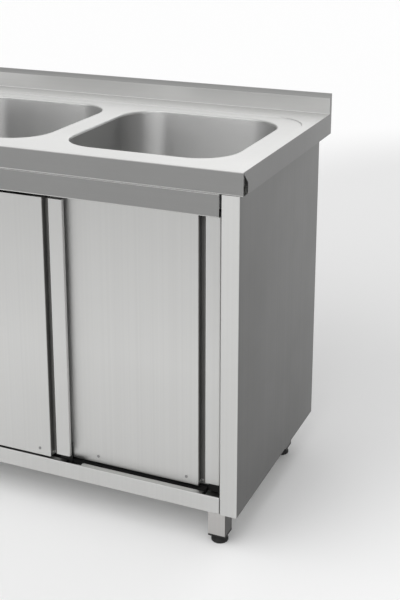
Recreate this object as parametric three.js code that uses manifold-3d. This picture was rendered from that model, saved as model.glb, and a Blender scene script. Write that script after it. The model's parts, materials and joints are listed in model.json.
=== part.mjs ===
// A stainless catering sink unit: a worktop with two pressed bowls, on a cupboard with two
// hanging sliding doors. Millimetres, +Z up, origin on the floor under the middle of the
// worktop, doors facing -Y. Left and right are as seen from the front.
import * as THREE from 'three';
import { mergeVertices } from 'three/addons/utils/BufferGeometryUtils.js';
import loadManifold from 'manifold-3d';

const wasm = await loadManifold();
wasm.setup();

// ---------------------------------------------------------------- driving dimensions

const seatGap = 0.3; // left between faces that touch
const bend = 1; // inside radius of the folds in the sheets
const softBend = 2.5; // and of the folds along the edges that show in front

// worktop
const topWidth = 1000;
const topDepth = 600; // apron to the back of the upstand
const topHeight = 850; // floor to the worktop
const topSheet = 1.2;
const apronHeight = 50;
const noseDepth = 28; // front apron, folded back under itself
const noseUpturn = 15;
const noseRelief = 26; // how far the side apron's front corner is cut down
const upstandHeight = 50;
const upstandSlope = 14; // 45 degree band along its top
const upstandLip = 15;
const apronReturn = 15; // side apron folded in at the back

// pressed recess round the bowls
const recessDrop = 2.5;
const recessSlope = 2;
const recessRadius = 90;
const recessFront = 27; // apron to the recess
const recessSide = 23;
const recessBack = 84;

// bowls
const bowlLength = 400; // left to right
const bowlWidth = 400; // front to back
const bowlDepth = 250;
const bowlRadius = 90;
const bowlFloorRadius = 40;
const bowlFront = 77; // apron to the bowl
const bowlDivider = 58;
const bowlSheet = 1;
const bowlFlange = 11;
const lipRadius = 3.5; // roll of the worktop into the bowl
const lipSkirt = 3;

// waste outlet in each bowl
const wasteSeatRadius = 45;
const wasteSeatDepth = 3;
const wasteHoleRadius = 26;
const wasteFlangeSheet = 2;
const wasteWall = 2;
const wasteLength = 62; // below its seat
const wasteOutletRadius = 20;
const locknutRadius = 38;
const locknutHeight = 12;
const strainerDepth = 20;
const strainerRim = 32;
const strainerSheet = 1.2;
const knobRadius = 7;
const knobHeight = 16;

// channel under the worktop between the bowls
const crossbarWidth = 30;
const crossbarHeight = 30;
const crossbarSheet = 1.2;

// side panels, each with a box post folded along its front
const panelSheet = 1;
const panelInset = 8; // in from the worktop's end
const panelBottom = 84;
const panelBackInset = 67; // in from the back of the upstand
const panelRearReturn = 22;
const panelFlange = 30; // folded in along the bottom
const panelTopFlange = 18;
const frontSetback = 2; // posts, fascia and rail behind the apron
const postWidth = 40;
const postDepth = 44;
const postReturn = 15;

// back of the cupboard
const backSheet = 1;
const serviceGap = 155; // open between the back sheet and the rail above it
const backPanelFlange = 15;
const rearRailDepth = 30;
const rearRailHeight = 45;

// base
const baseHeight = 39; // front rail, from the panels' bottom up
const baseSheet = 1;
const railFlangeDepth = 60; // rail folded back over the front legs
const railTopDepth = 15; // ledge in front of the guide channel
const channelWidth = 30;
const channelDrop = 14;
const cutoutLength = 42; // openings in the ledge that let the door guides in
const cutoutPastDoor = 7; // centre of the inner openings, from a door's edge
const cutoutLedge = 2; // left of the ledge in front of each opening
const rearChannelOverhang = 4; // rear base channel past each side of the legs

// plastic guide track in the rail's channel
const trackFloor = 1.7;
const trackRibTop = 2; // below the ledge
const trackSlot = 5;

// legs and feet
const legSize = 40;
const legWall = 1.5;
const legCap = 3;
const legInset = 40; // leg from the worktop's end
const frontLegFront = 18; // apron to the front legs
const rearLegFront = 429; // apron to the rear legs
const footHeight = 17; // screwed fully in
const footRadius = 19;
const footRim = 5;
const studRadius = 5;
const studLength = 58;
const insertRim = 4;
const insertPlug = 25;
const studClearance = 0.3;

// doors
const doorSheet = 1;
const doorThickness = 18;
const doorOverlap = 172;
const doorSpacing = 2; // between the front and the rear door
const doorSetback = 3.5; // front door behind the posts
const doorLift = 4; // door above the rail's ledge
const doorHeadroom = 5.5; // door below the fascia's lower edge
const stripWidth = 34.5; // flat strip along each upright edge
const stripRaise = 11; // the strips end above the door's lower edge
const stripLip = 8;
const grooveWidth = 15;
const grooveDepth = 14;
const gripWall = 1.3;
const linerInset = 20;
const linerFlange = 10;
const linerUpturn = 28;

// door guides and screws
const guideLength = 30;
const guideThickness = 3;
const guideHeight = 26; // held inside the door
const screwHeight = 16; // above the door's lower edge
const screwInset = 78; // outer screws, from the door's edges
const screwMiddle = -30; // third screw, from the door's middle
const screwHeadRadius = 3.4;
const screwHeadHeight = 1.2;
const screwShankRadius = 1.8;
const screwLength = 12;
const screwClearance = 0.25;

// hanging gear
const fasciaHeight = 50;
const fasciaEndGap = 4;
const fasciaFold = 6;
const fasciaFlange = 46;
const fasciaRearFold = 14;
const trackHeight = 30;
const trackWall = 1.2;
const trackWeb = 3.6; // between the two channels
const trackLipGap = 8;
const wheelRadius = 9;
const wheelWidth = 4.8;
const wheelGap = 0.5; // wheel to hanger plate
const axleRadius = 2;
const axleClearance = 0.2;
const axleHead = 0.8;
const hangerSheet = 2;
const hangerWidth = 40;
const hangerFoot = 14;
const hangerInset = 60; // hanger's middle from the door's edge

// rubber stops in the ends of the upper track
const stopPlate = 3;
const doorEndGap = 8.6; // closed door short of the post

// how finely curves are cut
const cornerSteps = 8;
const foldSteps = 2;
const roundSteps = 24;
const smallRoundSteps = 12;

// ---------------------------------------------------------------- derived places

const front = -topDepth / 2;
const back = topDepth / 2;
const end = topWidth / 2;
const apronBottom = topHeight - apronHeight;
const recessHeight = topHeight - recessDrop;
const noseBack = front + noseDepth;
const upstandFront = back - upstandSlope;
// The peak before its corner is rounded, which brings it down to the upstand's height.
const upstandPeak = topHeight + upstandHeight + Math.SQRT2 * (bend + topSheet);

const bowlMiddleX = (bowlDivider + bowlLength) / 2;
const bowlMiddleY = front + bowlFront + bowlWidth / 2;
const bowlTop = recessHeight - lipRadius - lipSkirt - seatGap;
const bowlFloor = recessHeight - bowlDepth;
const wasteSeat = bowlFloor - wasteSeatDepth;

const panelOuter = end - panelInset;
const panelInner = panelOuter - panelSheet;
const panelFront = front + frontSetback;
const panelBack = back - panelBackInset;
const panelTop = recessHeight - topSheet - seatGap;
const postInner = panelOuter - postWidth;
const postBack = panelFront + postDepth;

const ledge = panelBottom + baseHeight;
const channelFront = panelFront + railTopDepth;
const channelBack = channelFront + channelWidth;
const channelFloor = ledge - channelDrop;
const railEnd = postInner - seatGap;
const shelfFront = Math.max(channelBack + baseSheet, postBack) + seatGap;
const backPanelBack = panelBack - panelSheet - seatGap;
const shelfBack = backPanelBack - backSheet - seatGap;
const shelfFoldBottom = panelBottom + Math.max(panelSheet, baseSheet) + seatGap;
const rearRailFront = backPanelBack - rearRailDepth;
const rearRailTop = apronBottom;
const backPanelTop = rearRailTop - rearRailHeight - serviceGap;

const fasciaTop = apronBottom - seatGap;
const fasciaBottom = apronBottom - fasciaHeight;
const fasciaEnd = postInner - fasciaEndGap;
const trackTop = fasciaTop - panelSheet - seatGap;
const trackBottom = trackTop - trackHeight;
const trackEnd = postInner - stopPlate - 2 * seatGap;
const trackCavity = doorThickness + doorSpacing - trackWeb; // clear width of each channel
const axleHeight = trackBottom + trackWall + seatGap + wheelRadius;

const doorBottom = ledge + doorLift;
const doorTop = fasciaBottom - doorHeadroom;
const doorEdge = postInner - doorEndGap;
const doorWidth = doorEdge + doorOverlap / 2;
const doorMiddle = doorEdge - doorWidth / 2;
const frontDoorFace = panelFront + doorSetback;
const rearDoorFace = frontDoorFace + doorThickness + doorSpacing;
const grooveInner = doorWidth / 2 - stripWidth - grooveWidth;
const grooveOuter = doorWidth / 2 - stripWidth;
const linerUpturnFace = doorSheet + seatGap;
const guideFace = doorThickness - doorSheet - seatGap - guideThickness;
const screwOffsets = [screwInset - doorWidth / 2, screwMiddle, doorWidth / 2 - screwInset];

const legTop = panelBottom - seatGap;
const legOuter = end - legInset;

// ---------------------------------------------------------------- geometry helpers

const xyz = (x, y, z) => new THREE.Vector3(x, y, z);
const point = (x, y) => new THREE.Vector2(x, y);

function box([x0, x1], [y0, y1], [z0, z1]) {
  return new THREE.BoxGeometry(x1 - x0, y1 - y0, z1 - z0)
    .translate((x0 + x1) / 2, (y0 + y1) / 2, (z0 + z1) / 2);
}

// Shapes drawn in X and Y rise along Z, shapes drawn in Y and Z run along X, and shapes
// drawn in X and Z run along Y.
function extrude(shape, from, to) {
  const options = { depth: to - from, bevelEnabled: false };
  return new THREE.ExtrudeGeometry(shape, options).translate(0, 0, from);
}

function extrudeX(shape, from, to) {
  const turn = new THREE.Matrix4().makeBasis(xyz(0, 1, 0), xyz(0, 0, 1), xyz(1, 0, 0));
  return extrude(shape, from, to).applyMatrix4(turn);
}

function extrudeY(shape, from, to) {
  const turn = new THREE.Matrix4().makeBasis(xyz(1, 0, 0), xyz(0, 0, 1), xyz(0, -1, 0));
  return extrude(shape, -to, -from).applyMatrix4(turn);
}

function polygon(points) {
  return new THREE.Shape(points.map(([x, y]) => point(x, y)));
}

// The direction that lies to the right of travel from a to b.
function rightOf(a, b) {
  const along = b.clone().sub(a).normalize();
  return point(along.y, -along.x);
}

function isRightTurn(before, corner, after) {
  return after.clone().sub(corner).dot(rightOf(before, corner)) > 0;
}

// The same path, moved to its right by a distance.
function parallelPath(path, distance) {
  return path.map((corner, i) => {
    const before = i > 0 ? rightOf(path[i - 1], corner) : rightOf(corner, path[i + 1]);
    const after = i < path.length - 1 ? rightOf(corner, path[i + 1]) : before;
    const way = before.clone().add(after).normalize();
    return corner.clone().addScaledVector(way, distance / way.dot(after));
  });
}

// The corner between two straight runs, rounded to a radius.
function filletPoints(before, corner, after, radius) {
  const toBefore = before.clone().sub(corner).normalize();
  const toAfter = after.clone().sub(corner).normalize();
  const halfAngle = Math.acos(toBefore.dot(toAfter)) / 2;
  const middle = toBefore.clone().add(toAfter).normalize();
  const centre = corner.clone().addScaledVector(middle, radius / Math.sin(halfAngle));
  const start = corner.clone().addScaledVector(toBefore, radius / Math.tan(halfAngle));
  const sweep = (isRightTurn(before, corner, after) ? -1 : 1) * (Math.PI - 2 * halfAngle);
  const steps = Array.from({ length: foldSteps + 1 }, (_, i) => i / foldSteps);
  return steps.map((share) => start.clone().rotateAround(centre, share * sweep));
}

// A folded sheet seen end on. The corners are on its visible face, and the sheet lies on
// the right of the path. A corner's third number is its inside radius, where that isn't bend.
function foldedSheet(corners, thickness) {
  const face = corners.map(([x, y]) => point(x, y));
  const side = (path, outward) => path.flatMap((corner, i) => {
    if (i === 0 || i === path.length - 1) return [corner];
    const [, , inside = bend] = corners[i];
    const outer = isRightTurn(path[i - 1], corner, path[i + 1]) === outward;
    const radius = outer ? inside + thickness : inside;
    return filletPoints(path[i - 1], corner, path[i + 1], radius);
  });
  const hidden = side(parallelPath(face, thickness), false);
  return new THREE.Shape([...side(face, true), ...hidden.reverse()]);
}

// A closed outline with every corner rounded, to its third number where it has one.
function roundedPolygon(corners, radius) {
  const path = corners.map(([x, y]) => point(x, y));
  return new THREE.Shape(path.flatMap((corner, i) => {
    const before = path[(i + path.length - 1) % path.length];
    const after = path[(i + 1) % path.length];
    const [, , own = radius] = corners[i];
    return filletPoints(before, corner, after, own);
  }));
}

function roundedRectangle(halfX, halfY, radius, z) {
  const corners = [[1, 1], [-1, 1], [-1, -1], [1, -1]];
  return corners.flatMap(([sideX, sideY], i) => {
    const x = sideX * (halfX - radius);
    const y = sideY * (halfY - radius);
    const start = (i * Math.PI) / 2;
    const arc = new THREE.EllipseCurve(x, y, radius, radius, start, start + Math.PI / 2);
    return arc.getPoints(cornerSteps).map((p) => xyz(p.x, p.y, z));
  });
}

// A closed solid through a stack of rounded rectangles that all grow from one outline.
function loft({ halfX, halfY, radius }, levels, middleX, middleY) {
  const rings = levels.map(([grow, z]) =>
    roundedRectangle(halfX + grow, halfY + grow, radius + grow, z));
  const count = rings[0].length;
  const index = [];
  for (let level = 0; level < rings.length - 1; level += 1) {
    for (let i = 0; i < count; i += 1) {
      const a = level * count + i;
      const b = level * count + (i + 1) % count;
      index.push(a, b, b + count, a, b + count, a + count);
    }
  }
  const last = (rings.length - 1) * count;
  for (let i = 1; i < count - 1; i += 1) {
    index.push(0, i + 1, i, last, last + i, last + i + 1);
  }
  const geometry = new THREE.BufferGeometry().setFromPoints(rings.flat());
  geometry.setIndex(index);
  return geometry.translate(middleX, middleY, 0);
}

// A turned solid about the Z axis, from [radius, height] points.
function turned(profile, steps = roundSteps) {
  const points = profile.map(([radius, height]) => point(radius, height));
  return new THREE.LatheGeometry(points, steps).rotateX(Math.PI / 2);
}

function rod(radius, from, to, steps = roundSteps) {
  return new THREE.CylinderGeometry(radius, radius, to - from, steps)
    .rotateX(Math.PI / 2)
    .translate(0, 0, (from + to) / 2);
}

// A rod that lies along Y.
function rodY(radius, from, to, x, z, steps = roundSteps) {
  return new THREE.CylinderGeometry(radius, radius, to - from, steps)
    .translate(x, (from + to) / 2, z);
}

function weld(geometry) {
  const bare = new THREE.BufferGeometry();
  bare.setAttribute('position', geometry.getAttribute('position').clone());
  if (geometry.index) bare.setIndex(geometry.index.clone());
  const merged = mergeVertices(bare, 1e-4);
  const corners = merged.index.array;
  const kept = [];
  for (let i = 0; i < corners.length; i += 3) {
    const [a, b, c] = corners.slice(i, i + 3);
    if (a !== b && b !== c && c !== a) kept.push(a, b, c);
  }
  merged.setIndex(kept);
  return merged;
}

function enclosedVolume(positions, index) {
  const [a, b, c] = [xyz(), xyz(), xyz()];
  let volume = 0;
  for (let i = 0; i < index.length; i += 3) {
    a.fromArray(positions, 3 * index[i]);
    b.fromArray(positions, 3 * index[i + 1]);
    c.fromArray(positions, 3 * index[i + 2]);
    volume += a.dot(b.cross(c)) / 6;
  }
  return volume;
}

// A mirrored or reversed outline gives faces that point in, so they are turned over.
function toSolid(geometry) {
  const welded = weld(geometry);
  const vertProperties = new Float32Array(welded.getAttribute('position').array);
  const triVerts = new Uint32Array(welded.index.array);
  if (enclosedVolume(vertProperties, triVerts) < 0) triVerts.reverse();
  return new wasm.Manifold(new wasm.Mesh({ numProp: 3, vertProperties, triVerts }));
}

function toGeometry(solid) {
  const mesh = solid.getMesh();
  const geometry = new THREE.BufferGeometry();
  geometry.setAttribute('position', new THREE.BufferAttribute(mesh.vertProperties, 3));
  geometry.setIndex(new THREE.BufferAttribute(mesh.triVerts, 1));
  return geometry;
}

function join(first, ...others) {
  return toGeometry(others.map(toSolid).reduce((sum, part) => sum.add(part), toSolid(first)));
}

function cut(body, ...tools) {
  return toGeometry(tools.map(toSolid).reduce((rest, tool) => rest.subtract(tool), toSolid(body)));
}

function mirrorX(geometry) {
  return geometry.clone().scale(-1, 1, 1);
}

// ---------------------------------------------------------------- the assembly

const unit = new THREE.Group();

const finishes = {
  worktop: { color: 0xd2d2d2, roughness: 0.42, metalness: 0.9 },
  bowl: { color: 0xc4c4c2, roughness: 0.38, metalness: 0.9 },
  panel: { color: 0xc6c6c5, roughness: 0.4, metalness: 0.85 },
  carcass: { color: 0xa9a9a8, roughness: 0.5, metalness: 0.8 },
  leg: { color: 0xa8a3a3, roughness: 0.35, metalness: 0.85 },
  aluminium: { color: 0xb9bbbd, roughness: 0.45, metalness: 0.8 },
  chrome: { color: 0xd8d8d8, roughness: 0.15, metalness: 1 },
  blackPlastic: { color: 0x0d0d0d, roughness: 0.5, metalness: 0 },
  grip: { color: 0x2e2d2b, roughness: 0.55, metalness: 0 },
  nylon: { color: 0xe4e2da, roughness: 0.5, metalness: 0 },
  rubber: { color: 0x171717, roughness: 0.85, metalness: 0 },
};

function add(name, geometry, finish) {
  const mesh = new THREE.Mesh(
    toGeometry(toSolid(geometry)),
    new THREE.MeshStandardMaterial(finishes[finish]),
  );
  mesh.name = name;
  mesh.geometry.computeVertexNormals();
  unit.add(mesh);
}

function addPair(name, rightHand, finish) {
  add(`${name}_left`, mirrorX(rightHand), finish);
  add(`${name}_right`, rightHand, finish);
}

// ---------------------------------------------------------------- worktop and bowls

const bowlOutline = { halfX: bowlLength / 2, halfY: bowlWidth / 2, radius: bowlRadius };
const bowlSides = [-bowlMiddleX, bowlMiddleX];

// Points of a quarter bend as [grow, z] levels, from upright to flat, about a centre.
function bendLevels(centreGrow, centreZ, radius, direction) {
  const steps = Array.from({ length: 4 }, (_, i) => (i * Math.PI) / 6);
  return steps.map((a) => [
    centreGrow - radius * Math.cos(a),
    centreZ + direction * radius * Math.sin(a),
  ]);
}

// The worktop before pressing: a block with the hollow below the sheet cut out. Its end
// faces are the side aprons, which run on up to close the ends of the upstand.
function foldedWorktop() {
  const block = roundedPolygon([
    [front, apronBottom, softBend + topSheet],
    [back, apronBottom],
    [back, upstandPeak],
    [upstandFront, upstandPeak - upstandSlope],
    [upstandFront, topHeight],
    [front, topHeight],
  ], bend + topSheet);
  const visible = [
    [front, apronBottom + noseUpturn],
    [front, topHeight],
    [upstandFront, topHeight],
    [upstandFront, upstandPeak - upstandSlope],
    [back, upstandPeak],
    [back, apronBottom - 1],
  ].map(([y, z]) => point(y, z));
  const hidden = parallelPath(visible, topSheet).map((corner) => corner.toArray());
  const hollow = polygon([
    ...hidden,
    [noseBack, apronBottom - 1],
    [noseBack, apronBottom + noseUpturn],
  ]);
  // The nose is open at both ends, where the side apron's front corner is cut away.
  const nose = roundedPolygon([
    [front + topSheet, apronBottom + topSheet, softBend],
    [noseBack - topSheet, apronBottom + topSheet],
    [noseBack - topSheet, topHeight - noseRelief],
    [front + topSheet, topHeight - topSheet],
  ], bend / 2);
  const rearOpening = box(
    [apronReturn - end, end - apronReturn],
    [back - 2 * topSheet, back + 1],
    [apronBottom - 2, upstandPeak - upstandLip],
  );
  return cut(
    extrudeX(block, -end, end),
    extrudeX(hollow, topSheet - end, end - topSheet),
    extrudeX(nose, -end - 1, end + 1),
    rearOpening,
  );
}

function recessOutline() {
  return {
    halfX: end - recessSide,
    halfY: (topDepth - recessFront - recessBack) / 2,
    radius: recessRadius,
  };
}

function worktop() {
  const recessMiddle = (recessFront - recessBack) / 2;
  const recess = (levels) => loft(recessOutline(), levels, 0, recessMiddle);
  const tray = recess([
    [-recessSlope + topSheet, recessHeight - topSheet],
    [topSheet, topHeight - topSheet / 2],
  ]);
  const hollow = recess([
    [-recessSlope, recessHeight],
    [0, topHeight],
    [0, topHeight + 1],
  ]);
  const lipFoot = recessHeight - lipRadius - lipSkirt;
  const lipCentre = recessHeight - lipRadius;
  const lips = bowlSides.map((x) => loft(bowlOutline, [
    [topSheet, lipFoot],
    ...bendLevels(lipRadius, lipCentre, lipRadius - topSheet, 1),
    [lipRadius, recessHeight - topSheet / 2],
  ], x, bowlMiddleY));
  const mouths = bowlSides.map((x) => loft(bowlOutline, [
    [0, lipFoot - 1],
    ...bendLevels(lipRadius, lipCentre, lipRadius, 1),
    [lipRadius, recessHeight + 1],
  ], x, bowlMiddleY));
  return cut(join(foldedWorktop(), tray, ...lips), hollow, ...mouths);
}

function bowl(x) {
  const floorCentre = bowlFloor + bowlFloorRadius;
  const floorBend = (radius) => bendLevels(0, floorCentre, radius, -1)
    .map(([grow, z]) => [-bowlFloorRadius - grow, z])
    .reverse();
  const shell = loft(bowlOutline, [...floorBend(bowlFloorRadius + bowlSheet), [bowlSheet, bowlTop]],
    x, bowlMiddleY);
  const hollow = loft(bowlOutline, [...floorBend(bowlFloorRadius), [0, bowlTop + 1]],
    x, bowlMiddleY);
  const flange = loft(bowlOutline, [[bowlFlange, bowlTop - bowlSheet], [bowlFlange, bowlTop]],
    x, bowlMiddleY);
  const round = (radius, from, to) => rod(radius, from, to).translate(x, bowlMiddleY, 0);
  const seat = round(wasteSeatRadius + bowlSheet, wasteSeat - bowlSheet, bowlFloor - bowlSheet / 2);
  const seatHollow = round(wasteSeatRadius, wasteSeat, bowlFloor + 1);
  const hole = round(wasteHoleRadius, wasteSeat - 2 * bowlSheet, bowlFloor);
  return cut(join(shell, flange, seat), hollow, seatHollow, hole);
}

function crossbar() {
  const top = recessHeight - topSheet - seatGap;
  const half = crossbarWidth / 2;
  const section = foldedSheet([
    [-half, top - crossbarHeight],
    [-half, top],
    [half, top],
    [half, top - crossbarHeight],
  ], crossbarSheet);
  return extrudeY(section, noseBack + seatGap, rearRailFront - seatGap);
}

add('worktop', worktop(), 'worktop');
add('bowl_left', bowl(-bowlMiddleX), 'bowl');
add('bowl_right', bowl(bowlMiddleX), 'bowl');
add('worktop_crossbar', crossbar(), 'carcass');

// ---------------------------------------------------------------- waste outlets

const tubeOuter = wasteHoleRadius - seatGap;
const tubeInner = tubeOuter - wasteWall;
const wasteRim = wasteSeat + seatGap + wasteFlangeSheet;

function wasteBody() {
  const shoulder = wasteSeat - strainerDepth - wasteWall;
  return turned([
    [tubeInner, wasteRim],
    [wasteSeatRadius - seatGap, wasteRim],
    [wasteSeatRadius - seatGap, wasteSeat + seatGap],
    [tubeOuter, wasteSeat + seatGap],
    [tubeOuter, wasteSeat - wasteLength],
    [wasteOutletRadius, wasteSeat - wasteLength],
    [wasteOutletRadius, shoulder - wasteWall],
    [tubeInner, shoulder],
    [tubeInner, wasteRim],
  ]);
}

function locknut() {
  const top = wasteSeat - bowlSheet - seatGap;
  const ring = rod(locknutRadius, top - locknutHeight, top, 8);
  return cut(ring, rod(tubeOuter + seatGap, top - locknutHeight - 1, top + 1));
}

// A perforated basket that hangs by its rim and lifts out by its knob.
function strainer() {
  const rim = wasteRim + seatGap;
  const floor = rim - strainerDepth;
  const cup = tubeInner - 2 * seatGap;
  const stem = knobRadius / 2;
  const basket = turned([
    [0, floor],
    [cup, floor],
    [cup, rim],
    [strainerRim, rim],
    [strainerRim, rim + strainerSheet],
    [cup - strainerSheet, rim + strainerSheet],
    [cup - strainerSheet, floor + strainerSheet],
    [stem, floor + strainerSheet],
    [stem, floor + knobHeight - stem],
    [knobRadius, floor + knobHeight],
    [knobRadius, floor + knobHeight + stem],
    [0, floor + knobHeight + stem],
  ]);
  const holeRadius = (cup - strainerSheet - stem) / 5;
  const holes = Array.from({ length: 6 }, (_, i) => {
    const around = (i * Math.PI) / 3;
    const out = (cup + stem) / 2;
    return rod(holeRadius, floor - 1, floor + 2 * strainerSheet, smallRoundSteps)
      .translate(out * Math.cos(around), out * Math.sin(around), 0);
  });
  return cut(basket, ...holes);
}

for (const [side, x] of [['left', -bowlMiddleX], ['right', bowlMiddleX]]) {
  add(`waste_body_${side}`, wasteBody().translate(x, bowlMiddleY, 0), 'chrome');
  add(`waste_locknut_${side}`, locknut().translate(x, bowlMiddleY, 0), 'blackPlastic');
  add(`strainer_${side}`, strainer().translate(x, bowlMiddleY, 0), 'chrome');
}

// ---------------------------------------------------------------- cupboard

function sidePanel() {
  const section = foldedSheet([
    [panelOuter - panelRearReturn, panelBack],
    [panelOuter, panelBack],
    [panelOuter, panelFront, softBend],
    [postInner, panelFront, softBend],
    [postInner, postBack],
    [postInner + postReturn, postBack],
  ], panelSheet);
  const upright = extrude(section, panelBottom, panelTop);
  const behindPost = [postBack + seatGap, panelBack - 2 * panelSheet - seatGap];
  const underside = box(
    [panelOuter - panelFlange, panelOuter - panelSheet / 2],
    behindPost,
    [panelBottom, panelBottom + panelSheet],
  );
  const topFlange = box(
    [panelOuter - panelTopFlange, panelOuter - panelSheet / 2],
    behindPost,
    [panelTop - panelSheet, panelTop],
  );
  const noseRoom = box(
    [postInner - 1, panelOuter + 1],
    [front, noseBack + seatGap],
    [apronBottom - seatGap, panelTop + 1],
  );
  return cut(join(upright, underside, topFlange), noseRoom);
}

function backPanel() {
  const bottom = panelBottom + panelSheet + seatGap;
  const inner = backPanelBack - backPanelFlange;
  const section = foldedSheet([
    [inner, backPanelTop],
    [backPanelBack, backPanelTop],
    [backPanelBack, bottom],
  ], backSheet);
  return extrudeX(section, -panelInner + seatGap, panelInner - seatGap);
}

function rearTopRail() {
  const section = foldedSheet([
    [rearRailFront, rearRailTop],
    [backPanelBack, rearRailTop],
    [backPanelBack, rearRailTop - rearRailHeight],
    [rearRailFront, rearRailTop - rearRailHeight],
  ], backSheet);
  return extrudeX(section, -panelInner + seatGap, panelInner - seatGap);
}

// A shallow tray turned over. Its folded edges stand on the rail's flange in front and on
// the side panels' flanges.
function bottomShelf() {
  const section = foldedSheet([
    [shelfFront, shelfFoldBottom],
    [shelfFront, ledge],
    [shelfBack, ledge],
    [shelfBack, shelfFoldBottom],
  ], baseSheet);
  const edge = panelInner - seatGap;
  const sideFold = box(
    [edge - baseSheet, edge],
    [shelfFront + 2 * baseSheet, shelfBack - 2 * baseSheet],
    [shelfFoldBottom, ledge - baseSheet / 2],
  );
  return join(extrudeX(section, -edge, edge), sideFold, mirrorX(sideFold));
}

function rearBaseChannel() {
  const near = front + rearLegFront - rearChannelOverhang;
  const far = front + rearLegFront + legSize + rearChannelOverhang;
  const top = ledge - baseSheet - seatGap;
  const section = foldedSheet([
    [far, top],
    [far, panelBottom],
    [near, panelBottom],
    [near, top],
  ], baseSheet);
  const edge = panelOuter - panelFlange - seatGap;
  return extrudeX(section, -edge, edge);
}

function bottomFrontRail() {
  const section = foldedSheet([
    [panelFront + railFlangeDepth, panelBottom],
    [panelFront, panelBottom],
    [panelFront, ledge],
    [channelFront, ledge],
    [channelFront, channelFloor],
    [channelBack, channelFloor],
    [channelBack, ledge - baseSheet],
  ], baseSheet);
  const middles = [railEnd - cutoutLength / 2, doorOverlap / 2 + cutoutPastDoor];
  const openings = middles.flatMap((middle) => {
    const opening = box(
      [middle - cutoutLength / 2, middle + cutoutLength / 2],
      [panelFront + cutoutLedge + baseSheet, channelFront + 1],
      [channelFloor + bend, ledge + 1],
    );
    return [opening, mirrorX(opening)];
  });
  return cut(extrudeX(section, -railEnd, railEnd), ...openings);
}

// Where the guides of the front and the rear door run, as [from, to] in Y.
function guideLane(doorFace) {
  return [doorFace + guideFace, doorFace + guideFace + guideThickness];
}

function lowerGuideTrack() {
  const low = channelFloor + seatGap;
  const floor = low + trackFloor;
  const top = ledge - trackRibTop;
  const start = channelFront + seatGap;
  const stop = channelBack - seatGap;
  const slots = [frontDoorFace, rearDoorFace].map((face) => {
    const [from, to] = guideLane(face);
    const spare = (trackSlot - guideThickness) / 2;
    return [from - spare, to + spare];
  });
  const section = polygon([
    [start, low],
    [stop, low],
    [stop, top],
    [slots[1][1], top],
    [slots[1][1], floor],
    [slots[1][0], floor],
    [slots[1][0], top],
    [slots[0][1], top],
    [slots[0][1], floor],
    [start, floor],
  ]);
  const edge = railEnd - cutoutLength;
  return extrudeX(section, -edge, edge);
}

addPair('side_panel', sidePanel(), 'panel');
add('back_panel', backPanel(), 'carcass');
add('rear_top_rail', rearTopRail(), 'carcass');
add('bottom_shelf', bottomShelf(), 'carcass');
add('rear_base_channel', rearBaseChannel(), 'carcass');
add('bottom_front_rail', bottomFrontRail(), 'panel');
add('lower_guide_track', lowerGuideTrack(), 'blackPlastic');

// ---------------------------------------------------------------- fascia and upper track

function fascia() {
  const section = foldedSheet([
    [panelFront + fasciaFold, fasciaBottom],
    [panelFront, fasciaBottom, softBend],
    [panelFront, fasciaTop],
    [panelFront + fasciaFlange, fasciaTop],
    [panelFront + fasciaFlange, fasciaTop - fasciaRearFold],
  ], panelSheet);
  return extrudeX(section, -fasciaEnd, fasciaEnd);
}

// Two channels side by side, each open below between two lips that the wheels roll on.
function upperTrack() {
  const middles = [frontDoorFace, rearDoorFace].map((face) => face + doorThickness / 2);
  const half = trackCavity / 2;
  const lip = trackLipGap / 2;
  const inner = middles.flatMap((middle) => [
    [middle - lip, trackBottom],
    [middle - lip, trackBottom + trackWall],
    [middle - half, trackBottom + trackWall],
    [middle - half, trackTop - trackWall],
    [middle + half, trackTop - trackWall],
    [middle + half, trackBottom + trackWall],
    [middle + lip, trackBottom + trackWall],
    [middle + lip, trackBottom],
  ]);
  const section = polygon([
    [middles[0] - half - trackWall, trackTop],
    [middles[0] - half - trackWall, trackBottom],
    ...inner,
    [middles[1] + half + trackWall, trackBottom],
    [middles[1] + half + trackWall, trackTop],
  ]);
  return extrudeX(section, -trackEnd, trackEnd);
}

// A cap on the track's end, with a prong in each channel that the hangers run up against.
function trackStop() {
  const hangerSide = doorEdge - hangerInset + hangerWidth / 2;
  const prongs = [frontDoorFace, rearDoorFace].map((face) => {
    const middle = face + doorThickness / 2;
    const half = trackCavity / 2 - seatGap;
    return box(
      [hangerSide + seatGap, trackEnd + seatGap + stopPlate / 2],
      [middle - half, middle + half],
      [trackBottom + trackWall + seatGap, axleHeight + wheelRadius / 2],
    );
  });
  const plate = box(
    [trackEnd + seatGap, trackEnd + seatGap + stopPlate],
    [frontDoorFace, rearDoorFace + doorThickness],
    [trackBottom, trackTop],
  );
  return join(plate, ...prongs);
}

add('fascia', fascia(), 'panel');
add('upper_track', upperTrack(), 'aluminium');
addPair('track_stop', trackStop(), 'rubber');

// ---------------------------------------------------------------- legs and feet

function leg() {
  const half = legSize / 2;
  const bore = half - legWall;
  const tube = box([-half, half], [-half, half], [footHeight + insertRim + seatGap, legTop]);
  return cut(tube, box([-bore, bore], [-bore, bore], [footHeight, legTop - legCap]));
}

function legInsert() {
  const half = legSize / 2;
  const plug = half - legWall - seatGap;
  const rimTop = footHeight + insertRim;
  const rim = box([-half, half], [-half, half], [footHeight, rimTop]);
  const body = box([-plug, plug], [-plug, plug], [footHeight + insertRim / 2, rimTop + insertPlug]);
  const bore = rod(studRadius + studClearance, footHeight - 1, rimTop + insertPlug + 1);
  return cut(join(rim, body), bore);
}

function foot() {
  const shoulder = footHeight - seatGap;
  return turned([
    [0, 0],
    [footRadius - 1, 0],
    [footRadius, 1],
    [footRadius, footRim],
    [footRadius - 2, footRim + 2],
    [studRadius * 2, shoulder],
    [studRadius, shoulder],
    [studRadius, shoulder + studLength],
    [0, shoulder + studLength],
  ]);
}

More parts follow.
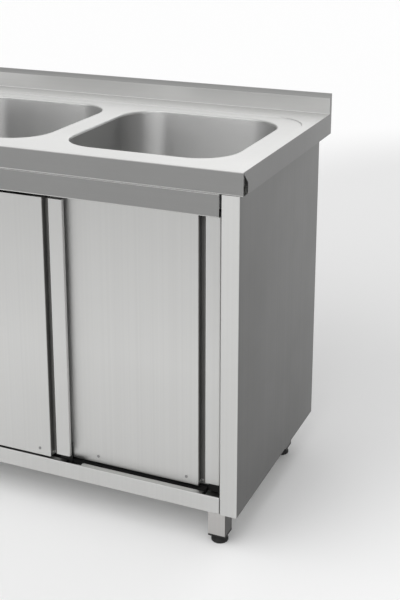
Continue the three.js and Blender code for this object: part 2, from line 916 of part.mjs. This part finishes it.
const legPlaces = { front: frontLegFront, rear: rearLegFront };
for (const [row, legFront] of Object.entries(legPlaces)) {
  for (const [side, sign] of [['left', -1], ['right', 1]]) {
    const x = sign * (legOuter - legSize / 2);
    const y = front + legFront + legSize / 2;
    add(`leg_${row}_${side}`, leg().translate(x, y, 0), 'leg');
    add(`leg_insert_${row}_${side}`, legInsert().translate(x, y, 0), 'blackPlastic');
    add(`foot_${row}_${side}`, foot().translate(x, y, 0), 'blackPlastic');
  }
}

// ---------------------------------------------------------------- doors
// A door is drawn about its own middle in X, with its front face at Y = 0.

const screwRise = doorBottom + screwHeight;

function screwHoles() {
  return screwOffsets.map((x) =>
    rodY(screwShankRadius + screwClearance, -1, linerUpturnFace + 2 * doorSheet, x, screwRise,
      smallRoundSteps));
}

// The front sheet: a grip groove and a flat strip along each upright edge, folded back at
// the top and the bottom between the grooves.
function doorSkin() {
  const half = doorWidth / 2;
  const section = foldedSheet([
    [half, stripLip],
    [half, 0, softBend],
    [grooveOuter, 0],
    [grooveOuter, grooveDepth],
    [grooveInner, grooveDepth],
    [grooveInner, 0],
    [-grooveInner, 0],
    [-grooveInner, grooveDepth],
    [-grooveOuter, grooveDepth],
    [-grooveOuter, 0],
    [-half, 0, softBend],
    [-half, stripLip],
  ], doorSheet);
  const returnDepth = [doorSheet / 2, doorThickness - doorSheet - seatGap];
  const inside = [-grooveInner + doorSheet / 2, grooveInner - doorSheet / 2];
  const lowerReturn = box(inside, returnDepth, [doorBottom, doorBottom + doorSheet]);
  const upperReturn = box(inside, returnDepth, [doorTop - doorSheet, doorTop]);
  const underStrip = box(
    [grooveInner, half + 1],
    [-1, doorThickness],
    [doorBottom - 1, doorBottom + stripRaise],
  );
  return cut(
    join(extrude(section, doorBottom, doorTop), lowerReturn, upperReturn),
    underStrip,
    mirrorX(underStrip),
    ...screwHoles(),
  );
}

// The back sheet, turned up behind the skin along the bottom, where the screws hold it.
function doorLiner() {
  const high = doorTop - doorSheet - seatGap;
  const low = doorBottom + doorSheet + seatGap;
  const section = foldedSheet([
    [doorThickness - linerFlange, high],
    [doorThickness, high],
    [doorThickness, low],
    [linerUpturnFace, low],
    [linerUpturnFace, low + linerUpturn],
  ], doorSheet);
  const half = doorWidth / 2 - linerInset;
  const grooveRoom = box(
    [grooveInner - doorSheet - seatGap, half + 1],
    [0, doorThickness - doorSheet],
    [low - 1, high + 1],
  );
  return cut(extrudeX(section, -half, half), grooveRoom, mirrorX(grooveRoom), ...screwHoles());
}

// The plastic channel that lines the groove on the right of the door.
function grip() {
  const from = grooveInner + seatGap;
  const to = grooveOuter - seatGap;
  const deep = grooveDepth - seatGap;
  const section = polygon([
    [from, 0],
    [from + gripWall, 0],
    [from + gripWall, deep - gripWall],
    [to - gripWall, deep - gripWall],
    [to - gripWall, 0],
    [to, 0],
    [to, deep],
    [from, deep],
  ]);
  return extrude(section, doorBottom + stripRaise, doorTop);
}

// A tab held in the door's right edge that runs in the lower track.
function guide() {
  const outer = doorWidth / 2 - doorSheet - seatGap;
  return box(
    [outer - guideLength, outer],
    [guideFace, guideFace + guideThickness],
    [channelFloor + seatGap + trackFloor + 1, doorBottom + stripRaise + guideHeight],
  );
}

function screw() {
  return turned([
    [0, -screwHeadHeight - seatGap],
    [screwHeadRadius * 0.7, -screwHeadHeight - seatGap],
    [screwHeadRadius, -screwHeadHeight / 2 - seatGap],
    [screwHeadRadius, -seatGap],
    [screwShankRadius, -seatGap],
    [screwShankRadius, screwLength],
    [0, screwLength],
  ], smallRoundSteps).rotateX(-Math.PI / 2);
}

const hangerMiddle = doorWidth / 2 - hangerInset;
const doorCentre = doorThickness / 2;

function hanger() {
  const sole = doorTop + seatGap;
  const plate = [doorCentre - hangerSheet / 2, doorCentre + hangerSheet / 2];
  const across = [hangerMiddle - hangerWidth / 2, hangerMiddle + hangerWidth / 2];
  const footPlate = box(
    across,
    [doorCentre - hangerFoot / 2, doorCentre + hangerFoot / 2],
    [sole, sole + hangerSheet],
  );
  const upright = box(across, plate, [sole + hangerSheet / 2, axleHeight + wheelRadius / 2]);
  const bore = rodY(axleRadius + axleClearance, 0, doorThickness, hangerMiddle, axleHeight);
  return cut(join(footPlate, upright), bore);
}

// Two wheels on one axle, one on each side of the hanger plate.
function wheelset() {
  const near = hangerSheet / 2 + wheelGap;
  const far = near + wheelWidth;
  const tread = [
    [axleRadius, near],
    [wheelRadius, near],
    [wheelRadius, far],
    [axleRadius * 1.5, far],
    [axleRadius * 1.5, far + axleHead],
    [0, far + axleHead],
  ];
  const otherSide = tread.map(([radius, height]) => [radius, -height]).reverse();
  return turned([...otherSide, ...tread])
    .rotateX(-Math.PI / 2)
    .translate(hangerMiddle, doorCentre, axleHeight);
}

function addDoor(side, middle, face) {
  const place = (geometry) => geometry.clone().translate(middle, face, 0);
  const name = (piece) => `door_${side}_${piece}`;
  add(name('skin'), place(doorSkin()), 'panel');
  add(name('liner'), place(doorLiner()), 'carcass');
  const pairs = [
    ['grip', grip(), 'grip'],
    ['guide', guide(), 'blackPlastic'],
    ['hanger', hanger(), 'carcass'],
    ['wheelset', wheelset(), 'nylon'],
  ];
  for (const [piece, geometry, finish] of pairs) {
    add(name(`${piece}_left`), place(mirrorX(geometry)), finish);
    add(name(`${piece}_right`), place(geometry), finish);
  }
  screwOffsets.forEach((x, i) => {
    add(name(`screw_${i + 1}`), place(screw().translate(x, 0, screwRise)), 'chrome');
  });
}

addDoor('left', -doorMiddle, frontDoorFace);
addDoor('right', doorMiddle, rearDoorFace);

export default unit;
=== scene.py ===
"""The looks of a stainless catering sink unit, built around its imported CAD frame. Metres, +Z up,
doors facing -Y, left and right as seen from the front."""
import json
import math

import bpy
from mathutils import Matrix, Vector


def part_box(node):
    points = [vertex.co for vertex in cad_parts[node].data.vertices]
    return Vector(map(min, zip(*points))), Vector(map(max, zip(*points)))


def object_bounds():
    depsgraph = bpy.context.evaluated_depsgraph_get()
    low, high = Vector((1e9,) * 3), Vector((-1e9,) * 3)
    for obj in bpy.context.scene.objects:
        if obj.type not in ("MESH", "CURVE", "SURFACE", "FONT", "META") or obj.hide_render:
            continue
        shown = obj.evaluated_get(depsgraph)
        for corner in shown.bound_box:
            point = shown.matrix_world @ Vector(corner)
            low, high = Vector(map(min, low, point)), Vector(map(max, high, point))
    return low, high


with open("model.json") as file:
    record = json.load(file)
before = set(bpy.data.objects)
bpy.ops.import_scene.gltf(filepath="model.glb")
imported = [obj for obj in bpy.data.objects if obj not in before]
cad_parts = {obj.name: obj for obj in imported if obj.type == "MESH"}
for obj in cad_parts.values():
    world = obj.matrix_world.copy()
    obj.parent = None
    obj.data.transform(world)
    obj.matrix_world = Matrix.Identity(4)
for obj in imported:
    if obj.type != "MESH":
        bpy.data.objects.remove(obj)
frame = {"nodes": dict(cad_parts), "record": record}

CAD_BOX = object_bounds()
MM = 0.001
BLACK = (0.0, 0.0, 0.0)

# ---------------------------------------------------------------- picture and camera

PICTURE = (400, 600)  # pixels
PRINCIPAL_POINT = (195.6, 168.0)  # pixel that the optical axis meets
FOCAL_LENGTH = 1095.2  # pixels
SENSOR = 36.0  # millimetres along the picture's long side
CAMERA_PLACE = Vector((1.2281, -2.2267, 1.4114))
CAMERA_YAW = math.radians(23.3)  # turned left of +Y
CAMERA_PITCH = math.radians(15.0)  # below the horizon


def add_camera():
    data = bpy.data.cameras.new("camera")
    data.sensor_width = SENSOR
    long_side = max(PICTURE)
    data.lens = FOCAL_LENGTH / long_side * SENSOR
    data.shift_x = (PICTURE[0] / 2 - PRINCIPAL_POINT[0]) / long_side
    data.shift_y = (PRINCIPAL_POINT[1] - PICTURE[1] / 2) / long_side
    camera = bpy.data.objects.new("camera", data)
    camera.location = CAMERA_PLACE
    level = math.cos(CAMERA_PITCH)
    forward = Vector((-math.sin(CAMERA_YAW) * level, math.cos(CAMERA_YAW) * level,
                      -math.sin(CAMERA_PITCH)))
    camera.rotation_mode = "QUATERNION"
    camera.rotation_quaternion = forward.to_track_quat("-Z", "Y")
    bpy.context.scene.collection.objects.link(camera)
    bpy.context.scene.camera = camera


# ---------------------------------------------------------------- node helpers

NUMBER_RESULTS = ("DOT_PRODUCT", "DISTANCE")  # vector operations that give a number
NOISE_RANGE = (0.3, 0.7)  # where most of a noise's values lie


class Nodes:
    """A short way to write node trees: each call adds a node, sets it and links its inputs."""

    def __init__(self, tree):
        self.tree = tree
        tree.nodes.clear()

    def add(self, kind, settings=None, **inputs):
        node = self.tree.nodes.new(kind)
        for name, value in (settings or {}).items():
            setattr(node, name, value)
        for name, value in inputs.items():
            self.feed(node.inputs[self.socket(node, name)], value)
        return node

    @staticmethod
    def socket(node, name):
        """Inputs are named in plain words, or as in_0, in_1 where a node repeats a name."""
        if name.startswith("in_"):
            return int(name[3:])
        wanted = name.replace("_", " ").lower()
        return next(i for i, s in enumerate(node.inputs) if s.name.lower() == wanted)

    def feed(self, socket, value):
        if isinstance(value, bpy.types.NodeSocket):
            self.tree.links.new(value, socket)
        elif isinstance(value, (tuple, list)) and socket.type == "RGBA":
            socket.default_value = (*value, 1.0)[:4]
        else:
            socket.default_value = value

    def place(self):
        """Where a point is, in its piece's own axes, which are the frame's."""
        return self.add("ShaderNodeTexCoord").outputs["Object"]

    def normal(self):
        return self.add("ShaderNodeTexCoord").outputs["Normal"]

    def parts(self, vector):
        return self.add("ShaderNodeSeparateXYZ", vector=vector).outputs

    def math(self, operation, a, b=0.0):
        return self.add("ShaderNodeMath", {"operation": operation}, in_0=a, in_1=b).outputs[0]

    def vector(self, operation, a, b):
        node = self.add("ShaderNodeVectorMath", {"operation": operation}, in_0=a, in_1=b)
        return node.outputs["Value" if operation in NUMBER_RESULTS else "Vector"]

    def remap(self, value, low, high, to_low, to_high, smooth=False):
        settings = {"interpolation_type": "SMOOTHSTEP" if smooth else "LINEAR"}
        node = self.add("ShaderNodeMapRange", settings, value=value, from_min=low, from_max=high,
                        to_min=to_low, to_max=to_high)
        return node.outputs[0]

    def noise(self, place, scale, detail):
        settings = {"noise_dimensions": "3D"}
        node = self.add("ShaderNodeTexNoise", settings, vector=place, scale=scale, detail=detail)
        return node.outputs[0]

    def vary(self, noise, middle, below, above):
        """Spreads a noise round a middle value."""
        return self.remap(noise, *NOISE_RANGE, middle - below, middle + above)

    def colour_mix(self, share, a, b):
        """The Mix node's inputs 6 and 7 and output 2 are its colours."""
        settings = {"data_type": "RGBA"}
        return self.add("ShaderNodeMix", settings, in_0=share, in_6=a, in_7=b).outputs[2]


def new_material(name):
    material = bpy.data.materials.new(name)
    material.use_nodes = True
    return material, Nodes(material.node_tree)


def finish_material(nodes, **inputs):
    shader = nodes.add("ShaderNodeBsdfPrincipled", **inputs)
    nodes.add("ShaderNodeOutputMaterial", surface=shader.outputs[0])


def shades(colour, darker, lighter):
    """Two colours, each the given share of this one."""
    return [[min(1.0, c * share) for c in colour] for share in (darker, lighter)]


# ---------------------------------------------------------------- painted shade on faces of the steel

# Painted shade: the shares of their colour that such faces keep.
END_PAINTED_SHADE = 0.24
BAND_PAINTED_SHADE = 0.34
UPSTAND_PAINTED_SHADES = ((49 * MM, 0.70), (12 * MM, 0.55))  # painted shade, from this far below its top: face, sloping edge
DOOR_TOP_PAINTED_SHADE = 0.82
DOOR_FADE = 0.55  # the part of its height over which a door's painted shade comes in
SHADE_ONSET = 1 * MM  # how soon a painted shade sets in at the edge of its face
ROLLED_EDGE = 3 * MM  # along the foot of a band, which keeps its full colour


def end_painted_shade(nodes, box):
    """Painted shade on the faces that look out at the unit's ends, left and right."""
    end = box[1][0]
    reach = nodes.math("ABSOLUTE", nodes.parts(nodes.place())["X"])
    return nodes.remap(reach, end - SHADE_ONSET, end, 1.0, END_PAINTED_SHADE, smooth=True)


def band_painted_shade(nodes, box):
    """Painted shade on the front of a band, except for its rolled edge."""
    front, foot = box[0][1], box[0][2]
    parts = nodes.parts(nodes.place())
    face = nodes.remap(parts["Y"], front, front + SHADE_ONSET, BAND_PAINTED_SHADE, 1.0, smooth=True)
    roll = nodes.remap(parts["Z"], foot + ROLLED_EDGE - SHADE_ONSET, foot + ROLLED_EDGE, 1.0, 0.0)
    return nodes.math("MAXIMUM", face, roll)


def upstand_painted_shade(nodes, box):
    """Painted shade on the upstand's face, and more so on the sloping edge along its top."""
    height = nodes.parts(nodes.place())["Z"]
    tone = 1.0
    for below_top, share in UPSTAND_PAINTED_SHADES:
        start = box[1][2] - below_top
        above = nodes.remap(height, start, start + SHADE_ONSET, 1.0, share)
        tone = nodes.math("MINIMUM", tone, above)
    return tone


def door_painted_shade(nodes, box):
    """Painted shade, darker towards a door's upper edge."""
    foot, top = box[0][2], box[1][2]
    height = nodes.parts(nodes.place())["Z"]
    return nodes.remap(height, top - DOOR_FADE * (top - foot), top, 1.0, DOOR_TOP_PAINTED_SHADE)


# ---------------------------------------------------------------- brushed steel

ALONG = 1.5  # grain features per metre along the brushing
ACROSS = 1500.0  # and across it
BROAD_GRAIN = 0.12  # the slow waves have this share of the fine streaks' features per metre
FINE_SHARE = 0.55  # the fine streaks' part in the pattern, of which the slow waves are the rest
SMEAR_RANGE = (0.35, 0.7)  # the noise values between which a smear comes in
SMEAR_ROUGHNESS = (-0.03, 0.05)  # what it adds

# Which way the sheet was brushed: how the noise is stretched, and how the highlight's
# direction comes from the squares of the normal's parts (rows are the normal's x, y, z).
GRAINS = {
    "upright": ((ACROSS, ACROSS, ALONG), ((0, 0, 1), (1, 0, 0), (1, 0, 0))),
    "level": ((ALONG, ACROSS, ACROSS), ((0, 0, 1), (0, 0, 1), (0, 1, 0))),
}


def streaks(nodes, stretch, detail):
    place = nodes.add("ShaderNodeMapping", {"vector_type": "POINT"}, vector=nodes.place(), scale=stretch)
    return nodes.noise(place.outputs[0], scale=1.0, detail=detail)


def stretched_highlight(nodes, rows):
    """A direction across the grain, for each way that a face can look."""
    normal = nodes.normal()
    squares = nodes.parts(nodes.vector("MULTIPLY", normal, normal))
    total = (0.0, 0.0, 0.0)
    for square, row in zip(squares, rows):
        weight = nodes.add("ShaderNodeCombineXYZ", x=square, y=square, z=square).outputs[0]
        total = nodes.vector("ADD", total, nodes.vector("MULTIPLY", weight, row))
    return total


def steel(name, colour, roughness, grain, *painted_shades):
    """Brushed sheet: fine streaks, slow waves in tone, and a smear here and there. Each of the painted
    shades is a function for faces painted darker, with the box of the piece that it goes by."""
    material, nodes = new_material(name)
    stretch, rows = GRAINS[grain]
    fine = streaks(nodes, stretch, detail=4.0)
    broad = streaks(nodes, [s * BROAD_GRAIN for s in stretch], detail=2.0)
    streak = nodes.math("ADD", nodes.math("MULTIPLY", fine, FINE_SHARE),
                        nodes.math("MULTIPLY", broad, 1 - FINE_SHARE))
    smear = nodes.noise(nodes.place(), scale=3.1, detail=3.0)
    worn = nodes.remap(smear, *SMEAR_RANGE, *SMEAR_ROUGHNESS)
    # Painted shade: each face takes the darkest of the painted shades.
    shade = 1.0
    for tone, box in painted_shades:
        shade = nodes.math("MINIMUM", shade, tone(nodes, box))
    sheet = nodes.colour_mix(nodes.remap(streak, *NOISE_RANGE, 0.0, 1.0), *shades(colour, 0.96, 1.04))
    finish_material(
        nodes,
        base_color=nodes.colour_mix(shade, BLACK, sheet),
        metallic=1.0,
        roughness=nodes.math("ADD", nodes.vary(streak, roughness, 0.04, 0.05), worn),
        anisotropic=0.75,
        tangent=stretched_highlight(nodes, rows),
        normal=nodes.add("ShaderNodeBump", strength=0.06, distance=0.2 * MM, height=fine).outputs[0],
    )
    return material


# ---------------------------------------------------------------- other finishes

BOWL_SIDE_PAINTED_SHADE = 0.42  # painted shade: the share of its colour that a bowl's wall keeps where it faces left or right
BOWL_SIDE_START = 0.1  # from this square of the normal's x


def bowl_steel(name, colour, roughness):
    """Pressed satin steel, with painted shade where the walls face left and right."""
    material, nodes = new_material(name)
    cloud = nodes.noise(nodes.place(), scale=9.0, detail=3.0)
    across = nodes.parts(nodes.normal())["X"]
    sideways = nodes.math("MULTIPLY", across, across)
    shade = nodes.remap(sideways, BOWL_SIDE_START, 1.0, 1.0, BOWL_SIDE_PAINTED_SHADE)
    mottled = nodes.colour_mix(cloud, *shades(colour, 0.97, 1.03))
    finish_material(
        nodes,
        base_color=nodes.colour_mix(shade, BLACK, mottled),
        metallic=1.0,
        roughness=nodes.vary(cloud, roughness, 0.03, 0.03),
    )
    return material


def satin_metal(name, colour, roughness, scale=60.0):
    """Pressed or cast metal with no brushing: a light mottle and small changes of gloss."""
    material, nodes = new_material(name)
    place = nodes.place()
    mottle = nodes.noise(place, scale=scale, detail=4.0)
    cloud = nodes.noise(place, scale=4.0, detail=2.0)
    share = nodes.math("ADD", nodes.math("MULTIPLY", mottle, 0.5), nodes.math("MULTIPLY", cloud, 0.5))
    finish_material(
        nodes,
        base_color=nodes.colour_mix(share, *shades(colour, 0.93, 1.06)),
        metallic=1.0,
        roughness=nodes.vary(share, roughness, 0.04, 0.04),
    )
    return material


def moulded(name, colour, roughness):
    """Plastic or rubber with a fine grain and a cloud of lighter and darker tone."""
    material, nodes = new_material(name)
    place = nodes.place()
    grain = nodes.noise(place, scale=900.0, detail=2.0)
    cloud = nodes.noise(place, scale=18.0, detail=3.0)
    finish_material(
        nodes,
        base_color=nodes.colour_mix(cloud, *shades(colour, 0.75, 1.25)),
        roughness=nodes.vary(cloud, roughness, 0.06, 0.08),
        specular_ior_level=0.3,
        normal=nodes.add("ShaderNodeBump", strength=0.25, distance=0.1 * MM, height=grain).outputs[0],
    )
    return material


SHEET = (0.64, 0.64, 0.63)
BRIGHT_SHEET = (0.78, 0.78, 0.77)
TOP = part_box("worktop")
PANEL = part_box("side_panel_right")
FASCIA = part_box("fascia")
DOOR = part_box("door_left_skin")
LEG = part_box("leg_front_right")

# The steel pieces take painted shade from the functions listed after their grain.
MATERIALS = {
    "worktop": steel("worktop_steel", BRIGHT_SHEET, 0.38, "level",
                     (end_painted_shade, TOP), (band_painted_shade, TOP), (upstand_painted_shade, TOP)),
    "band": steel("band_steel", BRIGHT_SHEET, 0.38, "level", (end_painted_shade, PANEL), (band_painted_shade, FASCIA)),
    "panel": steel("panel_steel", SHEET, 0.38, "upright", (end_painted_shade, PANEL)),
    "door": steel("door_steel", SHEET, 0.38, "upright", (door_painted_shade, DOOR)),
    "leg": steel("leg_steel", (0.54, 0.53, 0.52), 0.36, "upright", (end_painted_shade, LEG)),
    # Painted light: the bowls' steel is drawn lighter than the sheet, for the light inside them.
    "bowl": bowl_steel("bowl_steel", (0.93, 0.93, 0.925), 0.42),
    "carcass": satin_metal("carcass_steel", (0.56, 0.56, 0.55), 0.45),
    "aluminium": satin_metal("aluminium", (0.68, 0.68, 0.68), 0.40),
    "chrome": satin_metal("chrome", (0.78, 0.78, 0.78), 0.14, scale=20.0),
    "screw": satin_metal("screw_steel", (0.30, 0.30, 0.30), 0.40, scale=20.0),
    # Painted shade: the door hangers have a dark finish, made near-black for the dark gap behind the
    # fascia.
    "hanger": satin_metal("dark_hanger_painted_shade", (0.03, 0.03, 0.03), 0.50),
    "black_plastic": moulded("black_plastic", (0.012, 0.012, 0.012), 0.55),
    "grip": moulded("grip_plastic", (0.095, 0.094, 0.09), 0.5),
    "nylon": moulded("nylon", (0.75, 0.74, 0.70), 0.45),
    "rubber": moulded("rubber", (0.02, 0.02, 0.02), 0.75),
}
# Pieces whose finish isn't the one of their slot in the record, by what is in their names.
OTHER_FINISHES = {"fascia": "band", "_skin": "door", "_screw_": "screw", "_hanger_": "hanger"}

# ---------------------------------------------------------------- smooth folds on the CAD nodes

SHARP_ANGLE = math.radians(50)
WELD_DISTANCE = 0.01 * MM
LARGE_FACE_WEIGHT = 100  # how far the larger faces lead the shading at an edge


def smoothing_group():
    """Joins the faces' corners and shades them smooth, except across sharp edges."""
    tree = bpy.data.node_groups.new("smooth_folds", "GeometryNodeTree")
    for way in ("INPUT", "OUTPUT"):
        tree.interface.new_socket("Geometry", in_out=way, socket_type="NodeSocketGeometry")
    nodes = Nodes(tree)
    source = nodes.add("NodeGroupInput").outputs[0]
    joined = nodes.add("GeometryNodeMergeByDistance", geometry=source, distance=WELD_DISTANCE)
    smooth = nodes.add("GeometryNodeSetShadeSmooth", geometry=joined.outputs[0])
    angle = nodes.add("GeometryNodeInputMeshEdgeAngle").outputs["Unsigned Angle"]
    folded = nodes.math("GREATER_THAN", angle, SHARP_ANGLE)
    sharp = nodes.add("GeometryNodeSetShadeSmooth", {"domain": "EDGE"}, geometry=smooth.outputs[0],
                      selection=folded, shade_smooth=False)
    nodes.add("NodeGroupOutput", geometry=sharp.outputs[0])
    return tree


def dress_frame():
    group = smoothing_group()
    slots = {row["node"]: row["material_slot"] for row in frame["record"]["subparts"]}
    for name, node in frame["nodes"].items():
        finish = next((f for part, f in OTHER_FINISHES.items() if part in name), slots[name])
        node.data.materials.clear()
        node.data.materials.append(MATERIALS[finish])
        smoothing = node.modifiers.new("smooth_folds", "NODES")
        smoothing.node_group = group
        weighted = node.modifiers.new("even_shading", "WEIGHTED_NORMAL")
        weighted.keep_sharp = True
        weighted.weight = LARGE_FACE_WEIGHT


# ---------------------------------------------------------------- studio

FLOOR_RADIUS = 24.0
FLOOR_CORNERS = 96
FLOOR_COLOUR = (0.93, 0.93, 0.93)
FLOOR_PAINTED_SHADE = (0.76, 0.76, 0.76)  # painted shade, in a soft-edged patch on the floor behind the unit's right end
FLOOR_SHADE_MIDDLE = (1.1, 2.1, 0.0)
FLOOR_SHADE_EDGE = (1.3, 2.3)  # distances between which the painted shade fades out


def floor_paint():
    material, nodes = new_material("floor_paint")
    away = nodes.vector("DISTANCE", nodes.place(), FLOOR_SHADE_MIDDLE)
    # Painted shade: the floor greys towards the patch's middle.
    share = nodes.remap(away, *FLOOR_SHADE_EDGE, 0.0, 1.0, smooth=True)
    finish_material(nodes, base_color=nodes.colour_mix(share, FLOOR_PAINTED_SHADE, FLOOR_COLOUR),
                    roughness=0.9, specular_ior_level=0.1)
    return material


def add_floor():
    turns = [i * math.tau / FLOOR_CORNERS for i in range(FLOOR_CORNERS)]
    ring = [(FLOOR_RADIUS * math.cos(turn), FLOOR_RADIUS * math.sin(turn), 0.0) for turn in turns]
    mesh = bpy.data.meshes.new("floor")
    mesh.from_pydata(ring, [], [list(range(FLOOR_CORNERS))])
    mesh.materials.append(floor_paint())
    floor = bpy.data.objects.new("floor", mesh)
    bpy.context.scene.collection.objects.link(floor)


# Soft lobes of light in the room: the way to each one's middle, how bright it is there, and
# the cosines between which it fades in.
ROOM_BASE = 0.55
ROOM_LOBES = (
    ((-0.24, 0.95, 0.21), 0.36, 0.55, 0.97),
    ((0.0, 0.87, 0.50), 0.35, 0.60, 0.97),
    ((0.0, -0.98, 0.21), 0.75, 0.35, 0.97),
)


def add_room():
    world = bpy.data.worlds.new("room")
    world.use_nodes = True
    bpy.context.scene.world = world
    nodes = Nodes(world.node_tree)
    direction = nodes.add("ShaderNodeTexCoord").outputs["Generated"]
    level = ROOM_BASE
    for middle, strength, fade_from, fade_to in ROOM_LOBES:
        facing = nodes.vector("DOT_PRODUCT", direction, Vector(middle).normalized())
        lobe = nodes.remap(facing, fade_from, fade_to, 0.0, strength, smooth=True)
        level = nodes.math("ADD", level, lobe)
    background = nodes.add("ShaderNodeBackground", color=(1.0, 1.0, 1.0), strength=level)
    nodes.add("ShaderNodeOutputWorld", surface=background.outputs[0])


FILL_PLACE = Vector((-1.6, -2.2, 3.6))
FILL_STRENGTH = 1.1
FILL_SPREAD = math.radians(70)


def add_ceiling_fill():
    """A wide, soft lamp over the front left, with no reflection of its own."""
    data = bpy.data.lights.new("ceiling_fill", "SUN")
    data.energy = FILL_STRENGTH
    data.angle = FILL_SPREAD
    lamp = bpy.data.objects.new("ceiling_fill", data)
    lamp.location = FILL_PLACE
    lamp.rotation_mode = "QUATERNION"
    target = (CAD_BOX[0] + CAD_BOX[1]) / 2
    lamp.rotation_quaternion = (target - FILL_PLACE).to_track_quat("-Z", "Y")
    lamp.visible_glossy = False
    bpy.context.scene.collection.objects.link(lamp)


bpy.context.scene.view_settings.view_transform = "Standard"
add_camera()
add_room()
add_ceiling_fill()
add_floor()
dress_frame()
